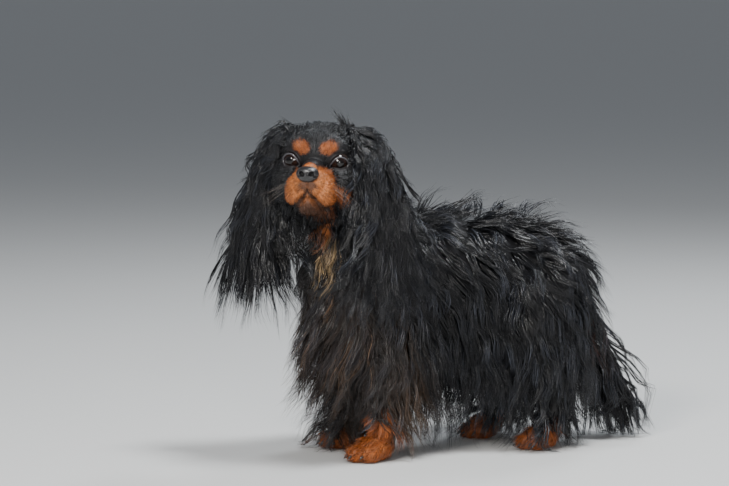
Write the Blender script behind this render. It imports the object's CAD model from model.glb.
"""The coat, face and finish of a standing black and tan spaniel, life size.

The solids are loaded at the top. Sizes are in metres in the dog's own frame, whose place in the
solids' frame is read from the left eye. In this frame the dog faces -Y, and its left is +X.
"""

import math

import bmesh
import bpy
import numpy as np
from bpy.props import FloatProperty, FloatVectorProperty, IntProperty, PointerProperty
from mathutils import Euler, Matrix, Vector
from mathutils.bvhtree import BVHTree


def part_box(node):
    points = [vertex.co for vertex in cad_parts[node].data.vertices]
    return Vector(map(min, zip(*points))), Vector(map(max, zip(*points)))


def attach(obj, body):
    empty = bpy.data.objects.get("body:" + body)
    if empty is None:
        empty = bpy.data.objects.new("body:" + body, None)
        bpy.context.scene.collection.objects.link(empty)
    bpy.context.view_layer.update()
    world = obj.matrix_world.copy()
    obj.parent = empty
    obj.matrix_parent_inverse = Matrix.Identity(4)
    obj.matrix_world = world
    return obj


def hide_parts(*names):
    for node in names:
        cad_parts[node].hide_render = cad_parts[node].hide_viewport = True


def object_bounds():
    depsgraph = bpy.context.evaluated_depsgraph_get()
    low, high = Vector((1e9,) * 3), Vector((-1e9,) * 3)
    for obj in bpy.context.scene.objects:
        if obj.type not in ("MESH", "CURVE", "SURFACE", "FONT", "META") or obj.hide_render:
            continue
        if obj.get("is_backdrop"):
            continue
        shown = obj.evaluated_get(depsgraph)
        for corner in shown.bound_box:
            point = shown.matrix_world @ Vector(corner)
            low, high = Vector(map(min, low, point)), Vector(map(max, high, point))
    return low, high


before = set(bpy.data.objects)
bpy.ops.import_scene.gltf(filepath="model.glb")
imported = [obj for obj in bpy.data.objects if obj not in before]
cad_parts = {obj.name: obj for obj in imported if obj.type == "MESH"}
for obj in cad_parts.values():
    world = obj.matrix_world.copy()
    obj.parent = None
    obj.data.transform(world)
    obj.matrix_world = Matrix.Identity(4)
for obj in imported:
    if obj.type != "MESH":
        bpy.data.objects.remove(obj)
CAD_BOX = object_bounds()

bl_info = {
    "name": "Black and tan spaniel",
    "version": (1, 0, 0),
    "blender": (4, 5, 0),
    "location": "3D View > Sidebar > Spaniel",
    "description": "Builds the skin, eyes, nose and long coat of a standing spaniel",
    "category": "Object",
}

# Trunk at the skin: y, z, half width, half height
TRUNK = [
    (-0.136, 0.236, 0.026, 0.036),
    (-0.112, 0.230, 0.050, 0.062),
    (-0.070, 0.228, 0.064, 0.072),
    (-0.010, 0.228, 0.066, 0.073),
    (0.050, 0.229, 0.063, 0.067),
    (0.105, 0.229, 0.061, 0.061),
    (0.145, 0.224, 0.059, 0.056),
    (0.172, 0.212, 0.040, 0.044),
]

# Neck, legs and tail at the skin: x, y, z, half width, half depth
NECK = [
    (0.000, -0.070, 0.255, 0.058, 0.058),
    (0.008, -0.104, 0.290, 0.048, 0.052),
    (0.018, -0.130, 0.325, 0.041, 0.045),
    (0.026, -0.148, 0.355, 0.038, 0.040),
]
FORELEG = [
    (0.046, -0.090, 0.215, 0.032, 0.040),
    (0.054, -0.082, 0.165, 0.027, 0.032),
    (0.057, -0.083, 0.110, 0.018, 0.020),
    (0.057, -0.087, 0.060, 0.015, 0.016),
    (0.057, -0.092, 0.026, 0.016, 0.017),
]
HINDLEG = [
    (0.040, 0.145, 0.215, 0.042, 0.052),
    (0.054, 0.132, 0.170, 0.034, 0.048),
    (0.059, 0.136, 0.122, 0.023, 0.030),
    (0.058, 0.162, 0.078, 0.013, 0.018),
    (0.057, 0.152, 0.036, 0.014, 0.016),
]
TAIL = [
    (0.000, 0.180, 0.232, 0.014, 0.016),
    (0.000, 0.204, 0.188, 0.012, 0.013),
    (0.002, 0.221, 0.145, 0.010, 0.011),
    (0.006, 0.242, 0.106, 0.008, 0.009),
    (0.010, 0.261, 0.075, 0.006, 0.007),
    (0.014, 0.273, 0.050, 0.004, 0.005),
]

# Right legs: the height below which they step away from the left ones, and how far along Y
# their paws stand from the left paws
HIP_HEIGHT = 0.215
RIGHT_FORE_STEP = 0.014
RIGHT_HIND_STEP = -0.022

# Each pair of legs: the left one's rows, the right one's step, and where its tan sock starts
# and is full
LEGS = [
    (FORELEG, RIGHT_FORE_STEP, (0.068, 0.052)),
    (HINDLEG, RIGHT_HIND_STEP, (0.038, 0.028)),
]

# Paws: x, y and scale, then a paw's masses as place along Y, height and radii, the place of
# each toe, the toes' height and radii, and how high the flat soles are
PAWS = [
    (0.057, -0.103, 1.0),
    (-0.057, -0.103 + RIGHT_FORE_STEP, 1.0),
    (0.057, 0.132, 0.95),
    (-0.057, 0.132 + RIGHT_HIND_STEP, 0.95),
]
PAW_MASSES = [
    (0.002, 0.016, (0.018, 0.022, 0.017)),
    (0.012, 0.026, (0.015, 0.016, 0.024)),
]
TOES = [(-0.0150, -0.008), (-0.0055, -0.019), (0.0055, -0.019), (0.0150, -0.008)]
TOE_HEIGHT = 0.0108
TOE_RADII = (0.0072, 0.0140, 0.0105)
SOLE = 0.0004

# Claws: how much wider than the toes their tips stand, how far before a toe's middle and how
# high the tips and the roots are, how the claws bend, their radius at the root and at the tip
CLAW_SPREAD = 1.06
CLAW_END = (0.0185, 0.0042)
CLAW_ROOT = (0.0095, 0.0105)
CLAW_BEND = (0.0, -0.0012, 0.0009)
CLAW_RADIUS = 0.0021
CLAW_TIP = 0.0002

# Head: where it sits and how it is turned, then its masses as centre and radii along
# forward, left and up
HEAD_AT = Vector((0.030, -0.161, 0.371))
HEAD_YAW = math.radians(56.0)
HEAD_PITCH = math.radians(3.0)
HEAD_ROLL = math.radians(-2.0)
HEAD_MASSES = [
    ((-0.010, 0.000, 0.006), (0.056, 0.050, 0.042)),
    ((0.022, 0.000, 0.012), (0.028, 0.036, 0.028)),
    ((0.052, 0.000, -0.008), (0.030, 0.0135, 0.012)),
    ((0.058, 0.000, -0.024), (0.030, 0.026, 0.018)),
    ((0.076, 0.000, -0.027), (0.014, 0.020, 0.016)),
    ((0.052, 0.000, -0.050), (0.030, 0.018, 0.014)),
    ((0.000, 0.000, -0.040), (0.042, 0.036, 0.034)),
]
HEAD_PAIRS = [
    ((0.030, 0.022, 0.018), (0.016, 0.017, 0.013)),
    ((0.016, 0.034, -0.024), (0.034, 0.021, 0.030)),
    ((0.034, 0.026, -0.016), (0.018, 0.016, 0.012)),
    ((0.060, 0.0155, -0.034), (0.023, 0.0155, 0.020)),
]

# Eyes: radius of the ball, place of the left one in the head's frame and its turn outward,
# half width and half height of the opening, and how its middle line is lowered and tilted
EYE_RADIUS = 0.0125
EYE_AT = (0.0330, 0.0272, 0.0015)
EYE_TURN = math.radians(20.0)
EYE_OPENING = (0.0112, 0.0083)
EYE_LOW = 0.0018
EYE_TILT = 0.0008
EYE_INNER_DROP = 0.0036

# The cornea, the glow of the iris, then the rings of the eye by distance from its middle: the
# pupil, the iris's dark edge and the white. Last, the lids' edge over the ball
CORNEA_RISE = 0.0007
CORNEA_REACH = 0.0055
IRIS_GLOW = (0.0045, 0.0085)
EYE_RINGS = [
    ((0.0052, 0.0045), (0.004, 0.003, 0.003)),
    ((0.0086, 0.0094), (0.006, 0.004, 0.004)),
    ((0.0100, 0.0108), (0.030, 0.022, 0.019)),
]
RIM_LIFT = 0.0011
RIM_THICKNESS = 0.00075
RIM_EXTRA_ABOVE = 0.00025

# Lids: how far they stand over the ball, and in shares of the opening the middle and reach of
# their ridge and of the fold over the eye; then the depth of the socket and the eye's area
LID_LIFT = 0.0004
LID_RIDGE = (1.35, 0.20)
LID_RIDGE_HEIGHT = 0.0010
LID_FOLD = (1.62, 0.12)
LID_FOLD_DEPTH = 0.0010
SOCKET_DEPTH = 0.0025
EYE_AREA = 0.030

# Nose leather: centre, radii, how square it is (1 is round), and how much narrower its lower
# part gets
NOSE_AT = (0.0870, -0.0005, -0.0145)
NOSE_RADII = (0.0092, 0.0138, 0.0098)
NOSE_SQUARENESS = 0.86
NOSE_NARROWING = 0.18

# Mouth: height, drop to the corners, half width and fall towards the back. Then where the fall
# starts, over what length it is full, and where the lips end
MOUTH = (-0.0335, 0.0200, 0.0210, 0.0030)
MOUTH_FRONT = 0.070
MOUTH_LENGTH = 0.044
MOUTH_BACK = 0.026

# The nostrils: place aside and up, half width and half height, and depth; first the round
# hole, then the slit beside it
NOSTRIL = ((0.0058, 0.0006, 0.0026, 0.0024), 0.0060)
NOSTRIL_SLIT = ((0.0098, -0.0022, 0.0042, 0.0011), 0.0030)

# Lips: how far each part stands out, its height over the mouth's line, its reach and where it
# is; then the side where the lobes start and are full, and the groove under the nose
LIPS = [
    (-0.0030, 0.0000, 0.0014, "across"),
    (0.0022, 0.0060, 0.0050, "lobes"),
    (-0.0035, -0.0065, 0.0060, "lobes"),
    (0.0008, -0.0090, 0.0050, "middle"),
]
LIP_LOBE = (0.003, 0.010)
GROOVE_DEPTH = 0.0014
GROOVE_REACH = 0.0011
GROOVE_FRONT = (0.066, 0.074)
GROOVE_TOP = (-0.020, -0.026)

# Voxels that the forms of the skin are melted with
BODY_VOXEL = 0.0034
HEAD_VOXEL = 0.00108
PAW_VOXEL = 0.0013

# Ears: x, y, z, half width, half thickness of the leather, from the root down
LEFT_EAR = [
    (0.050, -0.120, 0.409, 0.018, 0.0050),
    (0.071, -0.113, 0.382, 0.026, 0.0050),
    (0.088, -0.110, 0.325, 0.031, 0.0035),
    (0.098, -0.108, 0.280, 0.028, 0.0025),
]
RIGHT_EAR = [
    (0.007, -0.193, 0.408, 0.018, 0.0050),
    (-0.007, -0.209, 0.382, 0.024, 0.0050),
    (-0.024, -0.223, 0.325, 0.030, 0.0035),
    (-0.035, -0.230, 0.280, 0.029, 0.0025),
]
LEFT_EAR_SPREAD = Vector((-0.19, 0.97, 0.0))
RIGHT_EAR_SPREAD = Vector((-0.89, -0.43, 0.0))

# Bend of the leathers' section, how near an ear's middle line its hair grows, the hair's
# length at the root, its fan at the root, and its rise at the root with what is added to it
# towards the end. Then how steeply an ear's top faces up where its hair gets shorter, and
# by what share it does
EAR_CUP = -0.22
EAR_REACH = 0.06
EAR_HAIR = 0.044
EAR_FAN = 0.12
EAR_RISE = (0.006, 0.008)
EAR_TOP_FACING = (0.25, 0.85)
EAR_TOP_SHORTER = 0.6

# Each ear's rows and spread, how far its hair fans inward and outward, and how much longer
# the hair gets towards the end
EARS = [
    (LEFT_EAR, LEFT_EAR_SPREAD, (0.70, 0.12, 0.078)),
    (RIGHT_EAR, RIGHT_EAR_SPREAD, (1.15, 0.04, 0.080)),
]

# Lie of the body's coat, for the left side: x, y, z, reach of the area, length of the hair,
# direction, rise of the tips over the skin
BODY_LIE = [
    (0.000, -0.045, 0.300, 0.045, 0.042, (0.35, 0.75, -0.40), 0.024),
    (0.000, 0.040, 0.296, 0.050, 0.042, (0.45, 0.70, -0.50), 0.025),
    (0.000, 0.130, 0.285, 0.045, 0.048, (0.40, 0.70, -0.50), 0.032),
    (0.010, 0.205, 0.230, 0.040, 0.080, (0.10, 0.18, -0.96), 0.020),
    (0.070, -0.070, 0.250, 0.045, 0.085, (0.05, 0.35, -0.93), 0.020),
    (0.080, 0.030, 0.240, 0.050, 0.090, (0.05, 0.45, -0.88), 0.022),
    (0.080, 0.120, 0.240, 0.050, 0.090, (0.05, 0.42, -0.90), 0.022),
    (0.070, 0.030, 0.170, 0.045, 0.175, (0.05, 0.12, -0.98), 0.018),
    (0.065, -0.022, 0.165, 0.034, 0.165, (0.05, 0.12, -0.98), 0.016),
    (0.025, 0.030, 0.150, 0.035, 0.160, (0.10, 0.06, -1.00), 0.008),
    (0.080, -0.090, 0.150, 0.030, 0.095, (-0.04, -0.20, -0.97), 0.014),
    (0.055, -0.050, 0.135, 0.026, 0.125, (0.03, 0.26, -0.96), 0.016),
    (0.055, -0.070, 0.075, 0.022, 0.070, (0.02, 0.36, -0.93), 0.014),
    (0.057, -0.112, 0.110, 0.022, 0.055, (0.00, -0.10, -1.00), 0.010),
    (0.057, -0.108, 0.060, 0.015, 0.012, (0.00, 0.00, -1.00), 0.002),
    (0.090, 0.140, 0.170, 0.040, 0.125, (0.05, 0.16, -0.98), 0.018),
    (0.055, 0.190, 0.160, 0.035, 0.125, (0.02, 0.18, -0.98), 0.018),
    (0.058, 0.182, 0.085, 0.025, 0.070, (0.02, 0.16, -0.98), 0.014),
    (0.058, 0.112, 0.110, 0.032, 0.140, (0.03, -0.08, -1.00), 0.018),
    (0.057, 0.145, 0.042, 0.015, 0.032, (0.00, -0.05, -1.00), 0.005),
    (0.020, -0.150, 0.240, 0.035, 0.058, (0.05, -0.10, -0.98), 0.014),
    (0.020, -0.140, 0.185, 0.035, 0.135, (0.00, -0.38, -0.93), 0.020),
    (0.000, -0.100, 0.155, 0.035, 0.155, (-0.04, -0.24, -0.97), 0.016),
    (0.040, -0.150, 0.325, 0.030, 0.046, (0.05, -0.12, -1.00), 0.014),
    (0.035, -0.168, 0.290, 0.026, 0.010, (0.05, -0.12, -1.00), 0.006),
    (0.055, -0.110, 0.335, 0.030, 0.060, (0.15, 0.20, -0.95), 0.012),
    (0.010, -0.070, 0.350, 0.030, 0.055, (0.10, 0.60, -0.80), 0.012),
    (0.000, 0.210, 0.180, 0.025, 0.150, (0.08, 0.20, -0.97), 0.034),
    (0.005, 0.235, 0.120, 0.030, 0.155, (0.06, 0.26, -0.96), 0.040),
    (0.012, 0.270, 0.060, 0.025, 0.075, (0.06, 0.26, -0.95), 0.022),
]

# Lie of the head's coat in the head's own frame, for the left side, in the same order
HEAD_LIE = [
    (0.070, 0.000, -0.006, 0.014, 0.0030, (-1.0, 0.0, 0.2), 0.0006),
    (0.066, 0.018, -0.028, 0.014, 0.0060, (-0.9, 0.3, -0.5), 0.0018),
    (0.060, 0.000, -0.060, 0.012, 0.0070, (-0.6, 0.0, -0.8), 0.0020),
    (0.030, 0.040, -0.022, 0.016, 0.0085, (-0.8, 0.3, -0.5), 0.0022),
    (0.015, 0.050, -0.040, 0.016, 0.0140, (-0.7, 0.2, -0.7), 0.0030),
    (0.045, 0.018, 0.019, 0.012, 0.0050, (-0.6, 0.4, 0.7), 0.0015),
    (0.035, 0.000, 0.034, 0.014, 0.0070, (-0.9, 0.0, 0.4), 0.0020),
    (-0.010, 0.000, 0.050, 0.020, 0.0170, (-1.0, 0.2, -0.3), 0.0015),
    (0.014, 0.032, 0.036, 0.010, 0.0160, (-0.8, 0.7, 0.1), 0.0050),
    (-0.008, 0.034, 0.038, 0.015, 0.0460, (-0.2, 0.9, -0.4), 0.0130),
    (-0.060, 0.000, 0.010, 0.025, 0.0400, (-0.5, 0.0, -0.9), 0.0080),
    (0.020, 0.020, -0.068, 0.016, 0.0150, (-0.7, 0.1, -0.7), 0.0030),
    (-0.015, 0.050, -0.020, 0.020, 0.0700, (-0.1, 0.1, -1.00), 0.0060),
    (-0.010, 0.034, -0.060, 0.018, 0.1050, (0.15, 0.05, -1.00), 0.0090),
]

# The lock that is blown up behind the left brow: its middle, its reach, and its length,
# direction and rise
BLOWN_LOCK = (0.000, 0.036, 0.040)
BLOWN_LOCK_REACH = 0.012
BLOWN_LOCK_LIE = (0.036, np.array((-0.1, -1.2, 1.1)), 0.014)

# Where the hair parts round the eyes, by distance from an eye's centre, and by what share it
# gets shorter there
EYE_PARTING = (0.0215, 0.0165)
PARTING_SHORTER = 0.55

# The feathering of the right foreleg, which is blown forward: where it starts and is full
# along X, Y and up, and where it ends above. Then its direction at the floor and how much
# further forward it leans for each metre up, its length in the same way, and its rise
FEATHER_SIDE = (-0.020, -0.040)
FEATHER_FRONT = (-0.055, -0.075)
FEATHER_FOOT = (0.018, 0.030)
FEATHER_TOP = (0.200, 0.160)
FEATHER_WAY = (0.05, -0.08, -0.92)
FEATHER_LEAN = 2.0
FEATHER_LENGTH = (0.085, 0.30)
FEATHER_RISE = 0.020

# What the names of the solids start with that the skin and its coat stand for
FLESH = ("torso", "chest", "neck", "head", "jaw", "ear", "foreleg", "forepaw", "hind", "tail")

# Colours of the hair, its gloss, and the colours of the lids, nose, claws, whiskers and collar
BLACK_HAIR = (0.0055, 0.0055, 0.0065)
BROWN_HAIR = (0.165, 0.094, 0.048)
TAN_HAIR = (0.300, 0.078, 0.014)
PALE_TAN_HAIR = (0.430, 0.165, 0.055)
CREAM_HAIR = (0.560, 0.390, 0.210)
MUZZLE_SHADE = (0.050, 0.020, 0.010)
HAIR_GLEAM = (0.046, 0.052, 0.068)
HAIR_ROUGHNESS = (0.14, 0.34)
LID_COLOUR = (0.060, 0.056, 0.062)
LEATHER_COLOUR = (0.011, 0.010, 0.011)
HORN_COLOUR = (0.016, 0.013, 0.011)
WHISKER_COLOUR = (0.16, 0.13, 0.11)
WEB_COLOUR = (0.012, 0.012, 0.014)
STEEL_COLOUR = (0.60, 0.61, 0.63)

# How far the hair may reach along X and Y in the solids' frame, and where it starts to bend
HAIR_LIMITS = (0.1355, 0.3035)
LIMIT_SOFTNESS = 0.012

# Waves of the locks: the most waves in a hair, the range of their length and of their size.
# Then the ranges of length, rise and width of the long hair and the spread of its shade, the
# same for short hair, and how fast the swirls of the long coat change over the body
MOST_WAVES = 2.3
WAVE_LENGTHS = (0.85, 1.2)
WAVE_SIZES = (0.5, 1.2)
LONG_LENGTHS = (0.80, 1.12)
LONG_RISES = (0.15, 1.1)
LONG_WIDTHS = (0.5, 1.5)
LONG_SHADES = 0.50
SHORT_LENGTHS = (0.7, 1.2)
SHORT_RISES = (0.3, 1.4)
SHORT_WIDTHS = (0.7, 1.3)
SHORT_SHADES = 0.38
SWIRL_SCALE = 42.0

# How deep the roots are set, how near the floor guides and hairs come, a hair's thickness as
# a share of its width, the size of a hair's patch in the bake map, and a whisker's width
ROOT_DEPTH = 0.0015
SHORT_ROOT_DEPTH = 0.0006
GUIDE_FLOOR = 0.0040
HAIR_FLOOR = 0.0025
SHORT_HAIR_FLOOR = 0.0015
HAIR_FLATNESS = 0.45
BAKE_PATCH = 0.003
WHISKER_WIDTH = 0.0005

# Stage: the floor, the sky's light, and each lamp's place, size, power and colour
FLOOR_RADIUS = 400.0
FLOOR_COLOUR = (0.62, 0.62, 0.61)
SKY_COLOUR = (0.80, 0.86, 0.95)
SKY_STRENGTH = 0.26
LAMPS = [
    ("key", (1.9, -2.1, 1.9), 0.6, 85.0, (1.0, 0.97, 0.93)),
    ("low", (2.9, -1.0, 0.8), 0.6, 32.0, (1.0, 0.98, 0.96)),
    ("top", (0.9, 0.4, 3.0), 0.7, 105.0, (0.95, 0.98, 1.0)),
    ("rim", (-1.2, 1.6, 2.2), 0.7, 32.0, (0.90, 0.95, 1.0)),
]

# Camera: what it looks at, where it stands, the sensor's width in millimetres, and the
# picture's width and the focal length in pixels
LOOK_AT = (0.0, -0.088, 0.266)
CAMERA_AZIMUTH = math.radians(65.0)
CAMERA_ELEVATION = math.radians(5.0)
SENSOR_WIDTH = 36.0
VIEW_PIXELS = 729.0
FOCAL_PIXELS = 2880.0

# Where the tan of the face begins: its top edge by distance from the middle, its rear edge
# by height
FACE_TOP = (
    (0.000, 0.010, 0.017, 0.0244, 0.0294, 0.0415),
    (0.002, -0.0045, -0.008, -0.0145, -0.0264, -0.0319),
)
FACE_REAR = ((-0.075, -0.0575, -0.048, -0.0405), (0.004, 0.021, 0.034, 0.040))

# Tan of the head: how far the head reaches from its middle and to the rear, the spots over
# the eyes, and then the face's lower end, its half width and the black bridge of the nose
HEAD_REACH = 0.125
HEAD_REAR = -0.020
BROW_AT = (0.0165, 0.0172)
BROW_HALF = (0.0105, 0.0082)
BROW_SLANT = 0.10
FACE_FOOT = (-0.068, -0.062)
FACE_HALF_WIDTH = 0.050
FAR_CHEEK_STEP = 0.016
BRIDGE_SIDE = (0.0110, 0.0075)
BRIDGE_END = (0.0760, 0.0730)
BRIDGE_FOOT = -0.014

# Dark and light parts of the muzzle: the smudge under the nose and the golden middle of the
# chin as half width, middle and half height, then the chin, the lips and the rims of the eyes
SMUDGE = (0.0120, -0.0280, 0.0070)
GOLDEN_CHIN = (0.0075, -0.0075, 0.0045)
MUZZLE_FRONT = (0.055, 0.085)
UNDER_CHIN = (-0.050, -0.060)
LIP_LINE = (-0.0008, 0.0024)
EYE_RIM = (0.0185, 0.0145)
LIP_COLOUR = (0.008, 0.005, 0.005)
EYE_RIM_COLOUR = (0.012, 0.010, 0.011)

# Brown in the black of the chest and behind the forelegs: middle and reach along Y, then the
# heights where it starts and is full
CHEST_BROWN = (-0.14, 0.05)
CHEST_BROWN_FOOT = (0.07, 0.12)
CHEST_BROWN_TOP = (0.27, 0.20)
LEG_BROWN = (-0.05, 0.03)
LEG_BROWN_TOP = (0.18, 0.12)

# Tan of the legs: how near a leg's middle line, its front, the tan of the feet, how much
# lower the sock of the far foreleg is, and the middle and reach of the patch under the tail
LEG_REACH = 0.055
SOCK_FRONT = (0.012, 0.004)
FOOT_TOP = (0.030, 0.022)
FAR_SOCK_DROP = 0.024
VENT = (0.20, 0.17, 0.02)

# Patches of tan on the throat, seen along the dog's left: place along, height, half sizes.
# Then the streak of cream that hangs from it: its middle, its side, its foot and its top
THROAT = [
    (-0.057, 0.283, 0.016, 0.009),
    (-0.0844, 0.301, 0.008, 0.006),
    (-0.043, 0.296, 0.007, 0.005),
]
THROAT_REAR = -0.125
THROAT_RIGHT = -0.030
CREAM_MIDDLE = -0.042
CREAM_SIDE = (0.013, 0.008)
CREAM_FOOT = (0.243, 0.249)
CREAM_TOP = (0.280, 0.272)
SEEN_ALONG = (0.423, 0.906, 0.0797)


# Places


def head_matrix():
    """From the head's own forward, left and up to the dog's frame."""
    forward = Vector((math.sin(HEAD_YAW), -math.cos(HEAD_YAW), 0.0))
    left = Vector((math.cos(HEAD_YAW), math.sin(HEAD_YAW), 0.0))
    up = Vector((0.0, 0.0, 1.0))
    tipped = forward * math.cos(HEAD_PITCH) + up * math.sin(HEAD_PITCH)
    up = up * math.cos(HEAD_PITCH) - forward * math.sin(HEAD_PITCH)
    rolled = left * math.cos(HEAD_ROLL) + up * math.sin(HEAD_ROLL)
    up = up * math.cos(HEAD_ROLL) - left * math.sin(HEAD_ROLL)
    turn = Matrix((tipped, rolled, up)).transposed().to_4x4()
    return Matrix.Translation(HEAD_AT) @ turn


def eye_centre(sign):
    """An eye's centre in the head's frame: 1 is the left eye, -1 the right one."""
    return np.array((EYE_AT[0], sign * EYE_AT[1], EYE_AT[2]))


def eye_turn(sign):
    """How an eye is turned outward in the head's frame."""
    return Euler((0.0, 0.0, sign * EYE_TURN)).to_matrix()


def eye_matrix(sign):
    """From an eye's own outward, left and up to the dog's frame."""
    return HEAD @ Matrix.Translation(eye_centre(sign)) @ eye_turn(sign).to_4x4()


HEAD = head_matrix()
HEAD_TURN = np.array(HEAD.to_3x3())
EYE_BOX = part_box("eye_left")
SHIFT = (Vector(EYE_BOX[0]) + Vector(EYE_BOX[1])) / 2 - eye_matrix(1).translation


def in_head(points):
    """Points of the dog's frame in the head's own frame, as an array."""
    return (np.asarray(points) - np.array(HEAD.translation)) @ HEAD_TURN


def from_head(points):
    """Points of the head's own frame in the dog's frame, as an array."""
    return np.asarray(points) @ HEAD_TURN.T + np.array(HEAD.translation)


def eye_distance(local):
    """How far each point of the head's frame is from the nearer eye's centre."""
    return np.minimum(*(np.linalg.norm(local - eye_centre(sign), axis=1) for sign in (1, -1)))


# Small sums


def smooth_step(low, high, value):
    """Rises softly from 0 at the first place to 1 at the second."""
    t = np.clip((value - low) / (high - low), 0.0, 1.0)
    return t * t * (3.0 - 2.0 * t)


def bell(value, middle, reach):
    """1 at the middle, fading away on both sides."""
    return np.exp(-(((value - middle) / reach) ** 2))


def normalised(rows):
    """Each row at a length of 1."""
    length = np.linalg.norm(rows, axis=-1, keepdims=True)
    return rows / np.maximum(length, 1e-12)


def ripple(points, scale, seed=0.0):
    """A soft, wandering number from -1 to 1 for each point."""
    x, y, z = (np.asarray(points) * scale).T
    return (
        np.sin(x * 1.7 + 1.3 * np.sin(y * 1.1 + seed) + seed)
        * np.sin(y * 1.5 + 1.1 * np.sin(z * 1.3 - seed) + 2.0 * seed)
        * np.sin(z * 1.9 + 1.2 * np.sin(x * 0.9 + seed) - seed)
    )


def between(rows, count):
    """Smooth rows through the given ones, by a Catmull-Rom spline over each column."""
    made = []
    last = len(rows) - 1
    for step in range(count):
        place = last * step / (count - 1)
        at = min(int(place), last - 1)
        t = place - at
        near = [rows[min(max(at + k, 0), last)] for k in (-1, 0, 1, 2)]
        row = []
        for a, b, c, d in zip(*near):
            part = 2 * b + (c - a) * t
            part += (2 * a - 5 * b + 4 * c - d) * t * t
            part += (3 * b - a - 3 * c + d) * t * t * t
            row.append(0.5 * part)
        made.append(row)
    return made


# Markings


def leg_line(rows, z, step):
    """Where the middle of a leg is along Y at a height."""
    heights = np.array([row[2] for row in rows][::-1])
    places = np.array([row[1] for row in rows][::-1])
    return np.interp(z, heights, places) + step * np.maximum(0.0, 1.0 - z / HIP_HEIGHT)


def mouth_height(f, s):
    """The height of the mouth's line at a place of the head's frame."""
    height, drop, half_width, fall = MOUTH
    share = np.minimum(1.0, np.abs(s) / half_width)
    back = np.maximum(0.0, (MOUTH_FRONT - f) / MOUTH_LENGTH)
    return height - drop * share**0.9 + fall * back


def lid_middle(aside, sign):
    """The height of the eye opening's middle line, which drops towards the nose."""
    inner = np.maximum(0.0, -sign * aside / EYE_OPENING[0])
    return -EYE_LOW - sign * EYE_TILT - EYE_INNER_DROP * inner**2


def blend_in(colour, other, weight):
    """Draws colours towards another one by a weight for each point."""
    return colour + (np.array(other) - colour) * weight[:, None]


def seen_along(points):
    """Where each point is along the line across the camera's view."""
    x, y, _ = points.T
    return SEEN_ALONG[0] * x + SEEN_ALONG[1] * y + SEEN_ALONG[2]


def on_throat(points):
    """Whether each point is on the throat, under the face."""
    return (points[:, 1] < THROAT_REAR) & (points[:, 0] > THROAT_RIGHT)


def brown_share(points):
    """How brown the black is, on the chest and behind the forelegs."""
    _, y, z = points.T
    mottled = 0.10 + 0.90 * smooth_step(0.0, 0.32, ripple(points, 60.0, 4.0))
    chest = bell(y, *CHEST_BROWN) * smooth_step(*CHEST_BROWN_FOOT, z)
    chest *= smooth_step(*CHEST_BROWN_TOP, z)
    behind_leg = bell(y, *LEG_BROWN) * smooth_step(*LEG_BROWN_TOP, z)
    return np.clip(mottled * chest + 0.55 * behind_leg, 0.0, 0.8)


def brow_share(local, stray):
    """How tan the head is over the eyes."""
    f, s, u = local.T
    out = np.abs(s) - BROW_AT[0]
    lean = u - BROW_AT[1] - BROW_SLANT * out
    spot = (out / BROW_HALF[0]) ** 2 + (lean / BROW_HALF[1]) ** 2
    return smooth_step(1.55, 0.45, spot + 200 * stray) * (f > 0.02)


def face_share(local, stray):
    """How tan the muzzle and the cheeks are, on both sides of the black bridge."""
    f, s, u = local.T
    side = np.abs(s)
    face = smooth_step(0.002, -0.003, u - np.interp(side, *FACE_TOP) + stray)
    behind = f - np.interp(u, *FACE_REAR) + 2 * stray - FAR_CHEEK_STEP * (s < 0)
    face *= smooth_step(-0.001, 0.005, behind)
    face *= smooth_step(*FACE_FOOT, u + stray) * (side < FACE_HALF_WIDTH)
    bridge = smooth_step(*BRIDGE_SIDE, side + stray) * smooth_step(*BRIDGE_END, f)
    return face * (1.0 - bridge * (u > BRIDGE_FOOT))


def throat_share(points, stray):
    """How tan the throat is, in its three patches."""
    along = seen_along(points)
    shares = np.zeros(len(points))
    for place, height, half_width, half_height in THROAT:
        spot = ((along - place) / half_width) ** 2
        spot += ((points[:, 2] - height) / half_height) ** 2
        shares = np.maximum(shares, smooth_step(1.5, 0.6, spot + 120 * stray))
    return shares * on_throat(points)


def leg_share(points, stray):
    """How tan the legs are: the socks, the feet and the patch under the tail."""
    x, y, z = points.T
    vent_y, vent_z, reach = VENT
    vent = -(((y - vent_y) / reach) ** 2) - ((z - vent_z) / reach) ** 2 - (x / reach) ** 2
    shares = 0.7 * np.exp(vent)
    for rows, right_step, sock_top in LEGS:
        behind = y - leg_line(rows, z, np.where(x < 0, right_step, 0.0))
        front = smooth_step(*SOCK_FRONT, behind + 2 * stray)
        drop = np.where((x < 0) & (y < 0), FAR_SOCK_DROP, 0.0)
        sock = smooth_step(*sock_top, z + drop + 3 * stray) * front
        sock = np.maximum(sock, smooth_step(*FOOT_TOP, z + stray))
        on_leg = (np.abs(behind) < LEG_REACH) * (np.abs(x) > 0.02)
        shares = np.maximum(shares, sock * on_leg)
    return shares


def cream_share(points, stray):
    """How cream the hair under the throat is."""
    side = np.abs(seen_along(points) - CREAM_MIDDLE) + stray
    pale = smooth_step(*CREAM_SIDE, side) * smooth_step(*CREAM_FOOT, points[:, 2])
    return pale * (smooth_step(*CREAM_TOP, points[:, 2]) * on_throat(points))


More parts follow.
